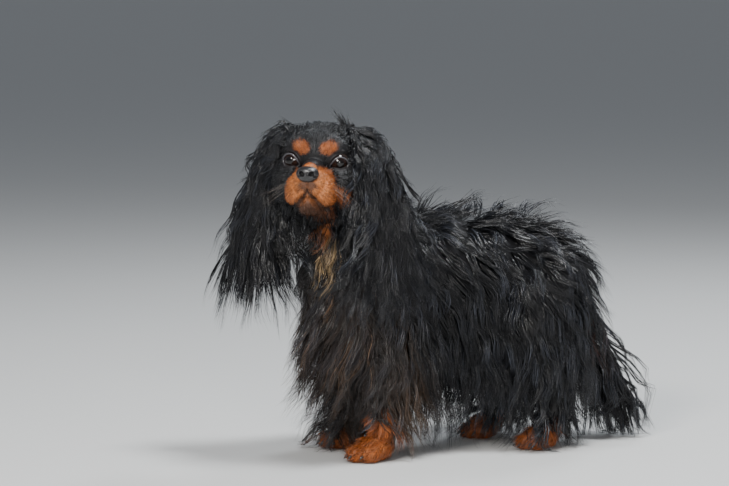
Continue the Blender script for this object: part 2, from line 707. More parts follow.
def warm_colour(points, local, throat, near_head):
    """The tan itself: paler on the muzzle, dark at the nose and chin, streaked on the feet."""
    f, s, u = local.T
    side = np.abs(s)
    warm = np.tile(np.array(TAN_HAIR), (len(points), 1))
    light = 0.50 * smooth_step(*MUZZLE_FRONT, f) * (u < -0.003) * near_head
    light = light + 0.30 * smooth_step(0.1, 0.7, ripple(points, 170.0, 3.0))
    warm = blend_in(warm, PALE_TAN_HAIR, np.clip(light + 0.35 * throat, 0.0, 0.8))
    over = u - mouth_height(f, s)
    smudge = (side / SMUDGE[0]) ** 2 + ((u - SMUDGE[1]) / SMUDGE[2]) ** 2
    smudge = 0.85 * smooth_step(1.4, 0.4, smudge) * (f > 0.06)
    half_width, height, half_height = GOLDEN_CHIN
    golden = np.exp(-((side / half_width) ** 2) - ((over - height) / half_height) ** 2)
    chin = (0.92 - 0.50 * golden) * smooth_step(0.0, -0.003, over) * (f > 0.03)
    under = 0.6 * smooth_step(*UNDER_CHIN, u) * smooth_step(0.004, -0.004, over - 0.010)
    under *= (u > -0.075) & (f > 0.0)
    shaded = np.maximum(np.maximum(smudge, chin), under)
    warm = blend_in(warm, MUZZLE_SHADE, shaded * near_head)
    streaks = smooth_step(-0.4, 0.5, ripple(points * (1.0, 1.0, 0.25), 700.0, 6.0))
    warm = warm * (1.0 - 0.45 * streaks * (points[:, 2] < 0.1))[:, None]
    hairy = ripple(local * (0.3, 1.0, 1.0), 1500.0, 7.0) + ripple(local, 800.0, 8.0)
    warm = warm * (1.0 + 0.45 * hairy * near_head)[:, None]
    return warm * (1.0 - 0.25 * near_head * (u > 0.004))[:, None]


def coat_colour(points):
    """The markings of skin and coat: colour at each point of the dog's frame."""
    points = np.asarray(points)
    local = in_head(points)
    f, s, u = local.T
    stray = 0.0018 * ripple(points, 900.0, 1.0) + 0.0015 * ripple(points, 400.0, 2.0)
    near_head = (np.linalg.norm(local, axis=1) < HEAD_REACH) & (f > HEAD_REAR)
    colour = np.tile(np.array(BLACK_HAIR), (len(points), 1))
    colour = blend_in(colour, BROWN_HAIR, brown_share(points))
    throat = throat_share(points, stray)
    tan = np.maximum(brow_share(local, stray), face_share(local, stray) * near_head)
    tan = np.maximum(np.maximum(tan, throat), leg_share(points, stray))
    warm = warm_colour(points, local, throat, near_head)
    colour = colour + (warm - colour) * tan[:, None]
    colour = blend_in(colour, CREAM_HAIR, 0.95 * cream_share(points, stray))
    lips = bell(u - mouth_height(f, s), *LIP_LINE) * near_head * (f > 0.028)
    colour = blend_in(colour, LIP_COLOUR, 0.95 * lips)
    return blend_in(colour, EYE_RIM_COLOUR, smooth_step(*EYE_RIM, eye_distance(local)))


# Meshes and materials


def link_form(name, mesh):
    """Makes an object of a mesh, a light or a camera and links it to the scene."""
    obj = bpy.data.objects.new(name, mesh)
    bpy.context.scene.collection.objects.link(obj)
    return obj


def link_piece(name, mesh):
    """Links a piece in place of an older one of its name."""
    old = bpy.data.objects.get(name)
    if old:
        bpy.data.objects.remove(old)
    return link_form(name, mesh)


def mesh_of(name, bm):
    """The mesh that a bmesh holds, which ends the bmesh."""
    mesh = bpy.data.meshes.new(name)
    bm.to_mesh(mesh)
    bm.free()
    return mesh


def ring_faces(base, rings, sides):
    """Quads between rings of points that follow each other from a first point on."""
    faces = []
    for first in range(base, base + (rings - 1) * sides, sides):
        for k in range(sides):
            a, b = first + k, first + (k + 1) % sides
            faces.append((a, b, b + sides, a + sides))
    return faces


def mesh_from(name, points, faces):
    """A smooth mesh from points of the dog's frame and one or more arrays of faces."""
    points = np.asarray(points, dtype=np.float32) + np.array(SHIFT, dtype=np.float32)
    mesh = bpy.data.meshes.new(name)
    mesh.vertices.add(len(points))
    put_points(mesh, points)
    if isinstance(faces, np.ndarray):
        faces = [faces]
    loops = np.concatenate([part.ravel() for part in faces]).astype(np.int32)
    sizes = np.concatenate([np.full(len(part), part.shape[1]) for part in faces])
    starts = np.concatenate([[0], np.cumsum(sizes)[:-1]]).astype(np.int32)
    mesh.loops.add(len(loops))
    mesh.loops.foreach_set("vertex_index", loops)
    mesh.polygons.add(len(sizes))
    mesh.polygons.foreach_set("loop_start", starts)
    mesh.update(calc_edges=True)
    mesh.shade_smooth()
    return mesh


def points_of(mesh):
    """The places of a mesh's points, as rows of an array."""
    points = np.empty(len(mesh.vertices) * 3, dtype=np.float32)
    mesh.vertices.foreach_get("co", points)
    return points.reshape(-1, 3).astype(np.float64)


def put_points(mesh, points):
    """Sets the places of a mesh's points from rows of an array."""
    mesh.vertices.foreach_set("co", np.asarray(points, dtype=np.float32).ravel())


def paint(mesh, colours):
    """Stores a colour for each point under the name fur."""
    found = mesh.color_attributes.get("fur")
    if found is None:
        found = mesh.color_attributes.new("fur", "FLOAT_COLOR", "POINT")
    rows = np.ones((len(colours), 4), dtype=np.float32)
    rows[:, :3] = colours
    found.data.foreach_set("color", rows.ravel())


def finish_piece(obj, material, nodes=()):
    """Gives a piece its material, its place in the frame and the solids that it stands for."""
    obj.data.materials.clear()
    obj.data.materials.append(material)
    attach(obj, "root")
    if nodes:
        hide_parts(*nodes)


def set_sockets(node, sockets):
    """Sets constants on a node's inputs; a low line in a name stands for a blank."""
    for name, value in sockets.items():
        node.inputs[name.replace("_", " ")].default_value = value


def new_material(name, colour, roughness, **sockets):
    """A new material with constants on its shader, which is returned with it."""
    material = bpy.data.materials.new(name)
    material.use_nodes = True
    shader = material.node_tree.nodes["Principled BSDF"]
    shader.inputs["Base Color"].default_value = (*colour, 1.0)
    shader.inputs["Roughness"].default_value = roughness
    set_sockets(shader, sockets)
    return material, shader


def colour_from_fur(material, shader):
    """Takes the colour from the mesh, where paint() has stored it."""
    tree = material.node_tree
    painted = tree.nodes.new("ShaderNodeAttribute")
    painted.attribute_name = "fur"
    tree.links.new(painted.outputs["Color"], shader.inputs["Base Color"])


def add_bump(material, shader, height, distance, strength):
    """Bends the shading by the heights that a texture gives, in metres."""
    tree = material.node_tree
    bump = tree.nodes.new("ShaderNodeBump")
    bump.inputs["Strength"].default_value = strength
    bump.inputs["Distance"].default_value = distance
    tree.links.new(height, bump.inputs["Height"])
    tree.links.new(bump.outputs["Normal"], shader.inputs["Normal"])


def texture(material, kind, scale, **sockets):
    """A texture in the object's own coordinates, which are multiplied by the scale."""
    tree = material.node_tree
    place = tree.nodes.new("ShaderNodeTexCoord")
    mapping = tree.nodes.new("ShaderNodeMapping")
    mapping.inputs["Scale"].default_value = scale
    tree.links.new(place.outputs["Object"], mapping.inputs["Vector"])
    node = tree.nodes.new(kind)
    tree.links.new(mapping.outputs["Vector"], node.inputs["Vector"])
    set_sockets(node, {"Scale": 1.0, **sockets})
    return node


def hair_material():
    """Glossy hair: its colour is painted on, and its gloss wanders along the locks."""
    name = "glossy_hair"
    if name in bpy.data.materials:
        return bpy.data.materials[name]
    material, shader = new_material(name, BLACK_HAIR, 0.38, Specular_IOR_Level=0.55)
    colour_from_fur(material, shader)
    spots = texture(material, "ShaderNodeTexNoise", (60, 60, 60), Detail=2.0)
    gloss = material.node_tree.nodes.new("ShaderNodeMapRange")
    set_sockets(gloss, {"To Min": HAIR_ROUGHNESS[0], "To Max": HAIR_ROUGHNESS[1]})
    material.node_tree.links.new(spots.outputs["Fac"], gloss.inputs["Value"])
    material.node_tree.links.new(gloss.outputs["Result"], shader.inputs["Roughness"])
    return material


def skin_material():
    """Short flat fur over skin: painted markings and a fine combed bump."""
    name = "short_fur"
    if name in bpy.data.materials:
        return bpy.data.materials[name]
    material, shader = new_material(name, BLACK_HAIR, 0.55, Specular_IOR_Level=0.35)
    colour_from_fur(material, shader)
    combed = texture(material, "ShaderNodeTexNoise", (900, 900, 260), Detail=3.0)
    add_bump(material, shader, combed.outputs["Fac"], 0.0006, 0.7)
    return material


# Closed forms that are melted into the skin


def tube(rows, across, sides=32, count=28, domes=5, cup=0.0):
    """A closed tube with an oval section along the rows, rounded at both ends."""
    rows = between(rows, count)
    centres = [Vector(row[:3]) for row in rows]
    last = len(centres) - 1
    plan = []
    for turn in range(domes, 0, -1):
        angle = math.pi / 2 * turn / (domes + 1)
        plan.append((0, -math.sin(angle), math.cos(angle)))
    plan += [(k, 0.0, 1.0) for k in range(len(centres))]
    for turn in range(1, domes + 1):
        angle = math.pi / 2 * turn / (domes + 1)
        plan.append((last, math.sin(angle), math.cos(angle)))
    tangents = []
    for k in range(len(centres)):
        span = centres[min(k + 1, last)] - centres[max(k - 1, 0)]
        tangents.append(span.normalized())
    points = [centres[0] - tangents[0] * min(rows[0][3:5])]
    for k, along, share in plan:
        half_width, half_depth = rows[k][3:5]
        tangent = tangents[k]
        side = (across - tangent * across.dot(tangent)).normalized()
        front = side.cross(tangent)
        centre = centres[k] + tangent * along * min(half_width, half_depth)
        for step in range(sides):
            angle = 2 * math.pi * step / sides
            bend = cup * half_width * math.cos(angle) ** 2
            aside = side * half_width * share * math.cos(angle)
            ahead = front * (half_depth * share * math.sin(angle) + bend * share)
            points.append(centre + aside + ahead)
    points.append(centres[-1] + tangents[-1] * min(rows[-1][3:5]))
    faces = [(0, 1 + (k + 1) % sides, 1 + k) for k in range(sides)]
    faces += ring_faces(1, len(plan), sides)
    base = 1 + (len(plan) - 1) * sides
    faces += [(base + k, base + (k + 1) % sides, len(points) - 1) for k in range(sides)]
    mesh = bpy.data.meshes.new("tube")
    mesh.from_pydata([tuple(p) for p in points], [], faces)
    bm = bmesh.new()
    bm.from_mesh(mesh)
    bmesh.ops.recalc_face_normals(bm, faces=bm.faces)
    bm.to_mesh(mesh)
    bm.free()
    return link_form("tube", mesh)


def ball(centre, radii, matrix=None):
    """An ellipsoid in the dog's frame, or in the frame that the matrix leads from."""
    bm = bmesh.new()
    bmesh.ops.create_uvsphere(bm, u_segments=32, v_segments=20, radius=1.0)
    place = Matrix.Translation(Vector(centre)) @ Matrix.Diagonal((*radii, 1.0))
    bm.transform((matrix or Matrix.Identity(4)) @ place)
    return link_form("ball", mesh_of("ball", bm))


def joined(name, objects):
    """Joins the objects into the first of them."""
    body = objects[0]
    with bpy.context.temp_override(
        active_object=body, object=body, selected_editable_objects=objects
    ):
        bpy.ops.object.join()
    body.name = name
    return body


def melted(name, objects, voxel, smoothing):
    """Melts overlapping forms into one smooth skin."""
    body = joined(name, objects)
    skin = body.modifiers.new("skin", "REMESH")
    skin.mode = "VOXEL"
    skin.voxel_size = voxel
    even = body.modifiers.new("even", "SMOOTH")
    even.factor = 0.5
    even.iterations = smoothing
    graph = bpy.context.evaluated_depsgraph_get()
    made = bpy.data.meshes.new_from_object(body.evaluated_get(graph))
    body.modifiers.clear()
    body.data = made
    return body


def mirrored(rows, step):
    """The right leg's rows: the left one's, standing a step further along."""
    made = []
    for x, y, z, a, b in rows:
        share = max(0.0, 1.0 - z / HIP_HEIGHT)
        made.append((-x, y + step * share, z, a, b))
    return made


def body_skin():
    """The trunk, neck, legs and tail in one."""
    across = Vector((1.0, 0.0, 0.0))
    pieces = [tube([(0.0, *row) for row in TRUNK], across, sides=48), tube(NECK, across)]
    for rows, right_step, _ in LEGS:
        pieces += [tube(rows, across), tube(mirrored(rows, right_step), across)]
    pieces.append(tube(TAIL, across, sides=20))
    return melted("skin_body", pieces, BODY_VOXEL, 8)


def paw_skin(x, y, scale):
    """Four toes round a pad, with the floor's flat under them."""
    masses = [((0.0, back, height), radii) for back, height, radii in PAW_MASSES]
    masses += [((aside * scale, ahead * scale, TOE_HEIGHT), TOE_RADII) for aside, ahead in TOES]
    pieces = []
    for (aside, back, height), (wide, long, high) in masses:
        pieces.append(ball((x + aside, y + back, height), (wide * scale, long * scale, high)))
    made = melted("skin_paw", pieces, PAW_VOXEL, 3)
    points = points_of(made.data)
    points[:, 2] = np.maximum(points[:, 2], SOLE)
    put_points(made.data, points)
    return made


def with_eye(local, sign):
    """Draws one eye's opening and its lids into points of the head's frame."""
    turn = np.array(eye_turn(sign))
    rel = (local - eye_centre(sign)) @ turn
    ahead, aside, height = rel.T
    reach = np.linalg.norm(rel, axis=1)
    rise = (height - lid_middle(aside, sign)) / EYE_OPENING[1]
    wide = np.sqrt((aside / EYE_OPENING[0]) ** 2 + rise**2)
    lid = EYE_RADIUS + LID_LIFT + LID_RIDGE_HEIGHT * bell(wide, *LID_RIDGE)
    below = smooth_step(0.3, -0.4, rise)
    hollow = smooth_step(1.05 + 0.25 * below, 1.9 + 0.5 * below, wide)
    outside = lid + (np.maximum(reach, lid) - lid) * hollow
    fold = LID_FOLD_DEPTH * bell(wide, *LID_FOLD) * (rise > 0)
    target = np.where(wide < 1.0, EYE_RADIUS - SOCKET_DEPTH, outside - fold)
    target = np.where((ahead > 0) & (reach < EYE_AREA), target, reach)
    rel = rel * (target / np.maximum(reach, 1e-9))[:, None]
    return rel @ turn.T + eye_centre(sign)


def with_mouth(local):
    """Draws the mouth, the lips and the groove under the nose into points of the head's frame."""
    f, s, u = local.T
    over = u - mouth_height(f, s)
    lobe = smooth_step(*LIP_LOBE, np.abs(s))
    shares = {"across": 1.0, "lobes": lobe, "middle": 1 - lobe}
    push = np.zeros(len(local))
    for depth, height, reach, where in LIPS:
        push += depth * shares[where] * bell(over, height, reach)
    groove = bell(s, 0.0, GROOVE_REACH) * smooth_step(*GROOVE_FRONT, f)
    push -= GROOVE_DEPTH * groove * (over > 0) * smooth_step(*GROOVE_TOP, u)
    push *= smooth_step(MOUTH_BACK, MOUTH_BACK + 0.012, f)
    away = normalised(np.stack([f - 0.03, s, np.zeros_like(f)], 1))
    return local + away * push[:, None]


def head_skin():
    """The head's masses in one, with the eyes and the mouth drawn in."""
    pieces = [ball(centre, radii, HEAD) for centre, radii in HEAD_MASSES]
    for (f, s, u), radii in HEAD_PAIRS:
        for sign in (1, -1):
            pieces.append(ball((f, sign * s, u), radii, HEAD))
    made = melted("skin_head", pieces, HEAD_VOXEL, 8)
    local = with_eye(with_eye(in_head(points_of(made.data)), 1), -1)
    put_points(made.data, from_head(with_mouth(local)))
    return made


# Hair


# Regions of the body's coat, each over the ones before it: name, least distance from the
# middle, front and rear, low and high ends
REGIONS = [
    ("rump", 0.000, (0.120, 1.000), (0.100, 1.000)),
    ("neck", 0.000, (-1.000, -0.050), (0.265, 1.000)),
    ("chest", 0.000, (-1.000, -0.118), (-1.000, 0.275)),
    ("forelegs", 0.018, (-1.000, -0.020), (-1.000, 0.160)),
    ("hindlegs", 0.012, (0.075, 0.210), (-1.000, 0.165)),
]

# The tail's coat: its top, and how near the tail's middle line it grows, as a share of the
# tail's radius with what is added. Then the tops of the paws' coat
TAIL_TOP = 0.215
TAIL_REACH = (1.6, 0.002)
HIND_PAW_TOP = 0.030
RIGHT_FORE_PAW_TOP = 0.020
LEFT_FORE_PAW_TOP = 0.045

# The loose hair on the ridge of the back: heights where it starts and is full, its front end,
# and where and how much more the locks stray there
BACK_RIDGE = (0.268, 0.292)
BACK_FRONT = -0.06
BACK_LOOSE = (0.265, 0.295)
BACK_STRAY = 1.6

# How far over the skin a root looks for other forms, and how far it looks
LOOK_FROM = 0.0004
LOOK_REACH = 0.3

# Least spacing of the roots, as a share of an even spread, and how many places are tried
# for each root
ROOT_SPACING = 0.62
ROOT_TRIES = 4


class Skin:
    """The skin in the dog's frame, for rooting hair and keeping it off the body."""

    def __init__(self, mesh):
        self.points = points_of(mesh) - np.array(SHIFT)
        mesh.calc_loop_triangles()
        corners = np.empty(len(mesh.loop_triangles) * 3, dtype=np.int32)
        mesh.loop_triangles.foreach_get("vertices", corners)
        self.corners = corners.reshape(-1, 3)
        parts = np.empty(len(mesh.vertices), dtype=np.int32)
        mesh.attributes["part"].data.foreach_get("value", parts)
        self.tree = BVHTree.FromPolygons(self.points.tolist(), self.corners.tolist())
        a, b, c = (self.points[self.corners[:, k]] for k in range(3))
        cross = np.cross(b - a, c - a)
        self.area = np.linalg.norm(cross, axis=1) / 2
        self.normals = normalised(cross)
        self.middles = (a + b + c) / 3
        self.regions = coat_regions(self.middles, self.normals, parts[self.corners[:, 0]])

    def open_to_air(self, places, normals):
        """Whether each place is outside every other form of the skin."""
        free = np.ones(len(places), dtype=bool)
        for k, (place, normal) in enumerate(zip(places, normals)):
            way = Vector(normal)
            hit, facing, _, _ = self.tree.ray_cast(Vector(place) + way * LOOK_FROM, way, LOOK_REACH)
            free[k] = hit is None or facing.dot(way) < 0
        return free

    def roots(self, region, count, seed, density=None):
        """Places spread evenly and at random over a region of the skin."""
        rng = np.random.default_rng(seed)
        weight = self.area * np.isin(self.regions, region)
        if density is not None:
            weight = weight * density(self.middles, self.normals)
        spacing = ROOT_SPACING * math.sqrt(weight.sum() / count)
        tries = count * ROOT_TRIES
        picked = rng.choice(len(weight), size=tries, p=weight / weight.sum())
        a, b, c = (self.points[self.corners[picked, k]] for k in range(3))
        p, q = rng.random((2, tries, 1))
        flip = p + q > 1
        p, q = np.where(flip, 1 - p, p), np.where(flip, 1 - q, q)
        places = a + (b - a) * p + (c - a) * q
        cells = np.floor(places / spacing).astype(np.int64)
        _, first = np.unique(cells, axis=0, return_index=True)
        first = np.sort(first)
        free = self.open_to_air(places[first], self.normals[picked[first]])
        kept = first[free][:count]
        return places[kept], self.normals[picked[kept]]


def coat_regions(points, normals, parts):
    """The coat that each point of the skin belongs to.

    The parts of the skin are numbered: 0 is the body, 1 the head, 2 to 5 are the paws, and 6 and
    7 the left and the right ear.
    """
    x, y, z = points.T
    names = np.full(len(points), "trunk_left", dtype="U12")
    names[x < 0] = "trunk_right"
    for name, inner, (front, rear), (low, high) in REGIONS:
        names[(np.abs(x) >= inner) & (y > front) & (y < rear) & (z > low) & (z < high)] = name
    line = np.array(between(TAIL, 30))
    away = np.linalg.norm(points[:, None, :] - line[None, :, :3], axis=2)
    on_tail = (away < line[None, :, 3] * TAIL_REACH[0] + TAIL_REACH[1]).any(1) & (z < TAIL_TOP)
    names[on_tail] = "tail"
    top = np.where(y > 0, HIND_PAW_TOP, np.where(x < 0, RIGHT_FORE_PAW_TOP, LEFT_FORE_PAW_TOP))
    names[(z < top) & (parts == 0) & ~on_tail] = "paws"
    names[parts == 1] = "head"
    names[(parts >= 2) & (parts <= 5)] = "paws"
    outward = outward_share(points, normals) > 0
    for part, name in ((6, "ear_left"), (7, "ear_right")):
        names[parts == part] = name + "_in"
        names[(parts == part) & outward] = name
    return names


def outward_share(points, normals):
    """Positive where the skin faces away from the head's middle, seen from above."""
    return ((points - np.array(HEAD_AT)) * normals)[:, :2].sum(1)


# The skin's places for the hair, with the name of the mesh that they are made from
MADE = {}


def the_skin():
    """The skin's places for the hair, made once for each skin."""
    obj = bpy.data.objects.get("skin")
    if obj is None:
        raise RuntimeError("The skin has to be made before the coat")
    if MADE.get("mesh") != obj.data.name:
        MADE["mesh"] = obj.data.name
        MADE["skin"] = Skin(obj.data)
    return MADE["skin"]


def lie_at(points, table, mirror):
    """Length, direction and rise of the coat at each point, from the named areas near it."""
    rows = np.array([(*row[:5], *row[5], row[6]) for row in table])
    places = points.copy()
    flip = places[:, mirror] < 0
    places[flip, mirror] *= -1
    away = np.linalg.norm(places[:, None, :] - rows[None, :, :3], axis=2)
    weight = np.exp(-((away / rows[None, :, 3]) ** 2)) + 1e-7 / (away**2 + 1e-6)
    weight /= weight.sum(1, keepdims=True)
    values = weight @ rows[:, 4:]
    length, lie, rise = values[:, 0], values[:, 1:4].copy(), values[:, 4]
    lie[flip, mirror] *= -1
    return length, normalised(lie), rise


def blend_lie(coat, other, weight):
    """Length, direction and rise, drawn towards another coat's by a weight for each point."""
    length, lie, rise = coat
    other_length, other_lie, other_rise = other
    length = length + (other_length - length) * weight
    lie = normalised(lie + (other_lie - lie) * weight[:, None])
    return length, lie, rise + (other_rise - rise) * weight


def body_lie(points, normals):
    """The lie of the body's coat, with the right foreleg's feathering blown forward."""
    coat = lie_at(points, BODY_LIE, 0)
    x, y, z = points.T
    blown = smooth_step(*FEATHER_SIDE, x) * smooth_step(*FEATHER_FRONT, y)
    blown *= smooth_step(*FEATHER_FOOT, z) * smooth_step(*FEATHER_TOP, z)
    forward = np.tile(FEATHER_WAY, (len(z), 1))
    forward[:, 1] -= FEATHER_LEAN * z
    long = np.maximum(coat[0], FEATHER_LENGTH[1] * z + FEATHER_LENGTH[0])
    return blend_lie(coat, (long, forward, FEATHER_RISE), blown)


def head_lie(points, normals):
    """The lie of the head's coat, with one lock blown up behind the left brow."""
    local = in_head(points)
    coat = lie_at(local, HEAD_LIE, 1)
    for sign in (1, -1):
        around = local - eye_centre(sign)
        near = smooth_step(*EYE_PARTING, np.linalg.norm(around, axis=1))
        outward = normalised(around * (0.3, 1.0, 1.0))
        coat = blend_lie(coat, (coat[0], outward, coat[2]), near)
        coat = (coat[0] * (1.0 - PARTING_SHORTER * near), *coat[1:])
    away = np.linalg.norm(local - np.array(BLOWN_LOCK), axis=1)
    blown = np.exp(-((away / BLOWN_LOCK_REACH) ** 4))
    length, lie, rise = blend_lie(coat, BLOWN_LOCK_LIE, blown)
    return length, lie @ HEAD_TURN.T, rise


def ear_lie(points, normals):
    """Ear hair runs down the leather and fans out from its middle line."""
    length = np.zeros(len(points))
    lie = np.zeros((len(points), 3))
    rise = np.zeros(len(points))
    for rows, spread, reaches in EARS:
        line = np.array(between(rows, 40))
        aside_way = np.array(spread.normalized())
        away = np.linalg.norm(points[:, None, :] - line[None, :, :3], axis=2)
        at = away.argmin(1)
        close = away.min(1) < EAR_REACH
        share = at / (len(line) - 1)
        tangent = normalised(np.gradient(line[:, :3], axis=0))[at]
        aside = ((points - line[at, :3]) @ aside_way) / line[at, 3]
        inward, outward, longer = reaches
        open_out = np.where(aside < 0, inward, outward) * share + EAR_FAN
        fan = aside[:, None] * aside_way[None] * open_out[:, None]
        own = normalised(tangent * 0.5 + np.array((0.0, 0.0, -0.9)) + fan)
        lie[close] = own[close]
        length[close] = (EAR_HAIR + longer * np.minimum(1.0, share * 1.5))[close]
        rise[close] = (EAR_RISE[0] + EAR_RISE[1] * share)[close]
    length = length * (1.0 - EAR_TOP_SHORTER * smooth_step(*EAR_TOP_FACING, normals[:, 2]))
    return length, lie, rise


def paw_lie(points, normals):
    """Short hair that runs down the pasterns and forward over the toes."""
    z = points[:, 2]
    lie = np.zeros((len(points), 3))
    lie[:, 1] = -smooth_step(0.05, 0.02, z)
    lie[:, 2] = -0.8
    length = 0.0090 + 0.0090 * smooth_step(0.014, 0.035, z)
    return length, normalised(lie), np.full(len(points), 0.0024)


def fuller_below(middles, normals):
    """The trunk grows more hair along its lower edge, where the coat hangs free."""
    return 1.0 + 1.3 * smooth_step(0.215, 0.175, middles[:, 2])


def thin_inside(middles, normals):
    """More hair at both ends of an ear, and less inside the left one, which lies on the neck."""
    inside = (outward_share(middles, normals) < 0) & (middles[:, 0] > 0.03)
    ends = 1.0 + smooth_step(0.34, 0.29, middles[:, 2])
    ends += smooth_step(0.375, 0.395, middles[:, 2])
    return np.where(inside, 0.35, 1.0) * ends


def long_on_head(middles, normals):
    """Where the head's long hair grows: behind the face, most at the corners of the crown."""
    local = in_head(middles)
    tuft = np.linalg.norm(local - np.array(BLOWN_LOCK), axis=1) < 0.010
    corner = (np.abs(local[:, 1]) > 0.022) & (local[:, 2] > 0.022)
    more = 1.0 + 3.0 * corner + 8.0 * tuft
    return more * smooth_step(0.008, 0.014, head_lie(middles, normals)[0])


def short_on_head(middles, normals):
    """Where the head's short hair grows: on the face, clear of the eyes."""
    local = in_head(middles)
    free = eye_distance(local) > EYE_RADIUS + 0.0012
    short = 0.15 + smooth_step(0.020, 0.010, head_lie(middles, normals)[0])
    return free * short * (1.0 + 0.8 * smooth_step(0.03, 0.06, local[:, 0]))


def comb(tree, roots, normals, lies, lengths, rises, steps, wave, turn, seed):
    """Leads a guide hair from each root over the body, and lets it hang where it leaves it."""
    rng = np.random.default_rng(seed)
    lines = np.empty((len(roots), steps + 1, 3))
    fronts = np.empty_like(lines)
    crests = np.zeros((len(roots), steps + 1))
    phases = 5.0 * ripple(roots, 24.0, 5.0) + rng.normal(0, 0.5, len(roots))
    spans = np.maximum(turn * rng.uniform(*WAVE_LENGTHS, len(roots)), lengths / MOST_WAVES)
    turns = 2 * math.pi / spans
    sizes = rng.uniform(*WAVE_SIZES, len(roots)) * wave
    for k in range(len(roots)):
        front = Vector(normals[k])
        place = Vector(roots[k])
        lie = Vector(lies[k])
        step = lengths[k] / steps
        lines[k, 0] = place - front * ROOT_DEPTH
        fronts[k, 0] = front
        for row in range(1, steps + 1):
            share = row / steps
            inward = min(0.0, lie.dot(front))
            along = (lie - front * inward).normalized()
            place = place + along * step
            near, facing, _, _ = tree.find_nearest(place)
            want = rises[k] * math.sin(math.pi / 2 * min(1.0, share * 1.4))
            if (place - near).dot(facing) < want:
                place = near + facing * want
            front = (front * 0.5 + facing * 0.5).normalized()
            side = along.cross(front)
            turned = phases[k] + turns[k] * lengths[k] * share
            aside = math.sin(turned) * sizes[k] * share**0.7
            ahead = (0.6 + 0.6 * math.cos(turned)) * sizes[k] * share
            shown = place + side * aside + front * ahead
            shown.z = max(shown.z, GUIDE_FLOOR)
            lines[k, row] = shown
            fronts[k, row] = front
            crests[k, row] = 0.5 + 0.5 * math.cos(turned)
    return lines, fronts, crests


def short_lines(roots, normals, lies, lengths, rises, steps):
    """Straight short hairs that lean along the skin."""
    along = normalised(lies - normals * (lies * normals).sum(1)[:, None])
    share = np.linspace(0, 1, steps + 1)[None, :, None]
    reach = (lengths[:, None, None] * share) * along[:, None]
    lift = rises[:, None, None] * np.sin(share * math.pi / 2) * normals[:, None]
    points = roots[:, None] - normals[:, None] * SHORT_ROOT_DEPTH + reach + lift
    points[..., 2] = np.maximum(points[..., 2], SHORT_HAIR_FLOOR)
    return points, np.repeat(normals[:, None], steps + 1, axis=1)


def kept_in(points):
    """Bends the outermost hair softly back, so that the coat stays within its limits."""
    for axis, limit in enumerate(HAIR_LIMITS):
        place = points[..., axis] + SHIFT[axis]
        start = limit - LIMIT_SOFTNESS
        far = np.abs(place) - start
        bent = start + LIMIT_SOFTNESS * np.tanh(far / LIMIT_SOFTNESS)
        points[..., axis] = np.where(far > 0, np.sign(place) * bent, place) - SHIFT[axis]
    return points


def locks(skin, guides, row, seed):
    """Hairs round each guide, rooted in the skin and drawn together towards its tip."""
    rng = np.random.default_rng(seed)
    lines, fronts, crests = guides
    steps = lines.shape[1] - 1
    spread, clump, frizz = row["spread"], row["clump"], row["frizz"]
    of = np.repeat(np.arange(len(lines)), row["hairs"])
    total = len(of)
    ridge = smooth_step(*BACK_RIDGE, lines[of, 0, 2]) * (lines[of, 0, 1] > BACK_FRONT)
    along = normalised(lines[:, 2] - lines[:, 0])
    side = normalised(np.cross(along, fronts[:, 0]))
    forth = np.cross(fronts[:, 0], side)
    angle = rng.uniform(0, 2 * math.pi, total)
    reach = np.sqrt(rng.random(total)) * spread
    shift = side[of] * (np.cos(angle) * reach)[:, None]
    shift += forth[of] * (np.sin(angle) * reach)[:, None]
    for k in range(total):
        place = Vector(lines[of[k], 0] + shift[k])
        near, facing, _, _ = skin.tree.find_nearest(place)
        shift[k] += np.array(near - place - facing * 0.001)
    share = np.linspace(0, 1, steps + 1)
    cut = rng.uniform(row["cut"], 1.0, total)
    at = share[None, :] * cut[:, None] * steps
    low = np.minimum(at.astype(int), steps - 1)
    part = (at - low)[..., None]
    rows = of[:, None]
    points = lines[rows, low] * (1 - part) + lines[rows, low + 1] * part
    facing = normalised(fronts[rows, low] * (1 - part) + fronts[rows, low + 1] * part)
    crest = crests[rows, low] * (1 - part[..., 0]) + crests[rows, low + 1] * part[..., 0]
    hold = rng.uniform(0.65, 1.0, total) * clump * (1.0 - 0.8 * ridge)
    close = 1.0 - hold[:, None] * share[None, :] ** 1.6
    points = points + shift[:, None, :] * close[..., None]
    loose = rng.normal(0, 1, (total, 3)) * (frizz * (1.0 + 1.2 * ridge))[:, None]
    points = points + loose[:, None, :] * (share[None, :, None] ** 1.5)
    lift = rng.uniform(-0.4, 1.0, total) * frizz
    points = points + facing * (lift[:, None] * share[None, :])[..., None]
    coil = np.sin(share[None, :] * 9.0 + rng.uniform(0, 6.3, (total, 1))) * share[None, :]
    points = points + side[of][:, None, :] * (coil * (0.0008 + 0.0022 * ridge)[:, None])[..., None]
    points[..., 2] = np.maximum(points[..., 2], HAIR_FLOOR)
    glossy = rng.random(len(lines))[of, None] * rng.random((total, 1)) * row["gleam"]
    return kept_in(points), facing, crest**3 * 1.6 * glossy


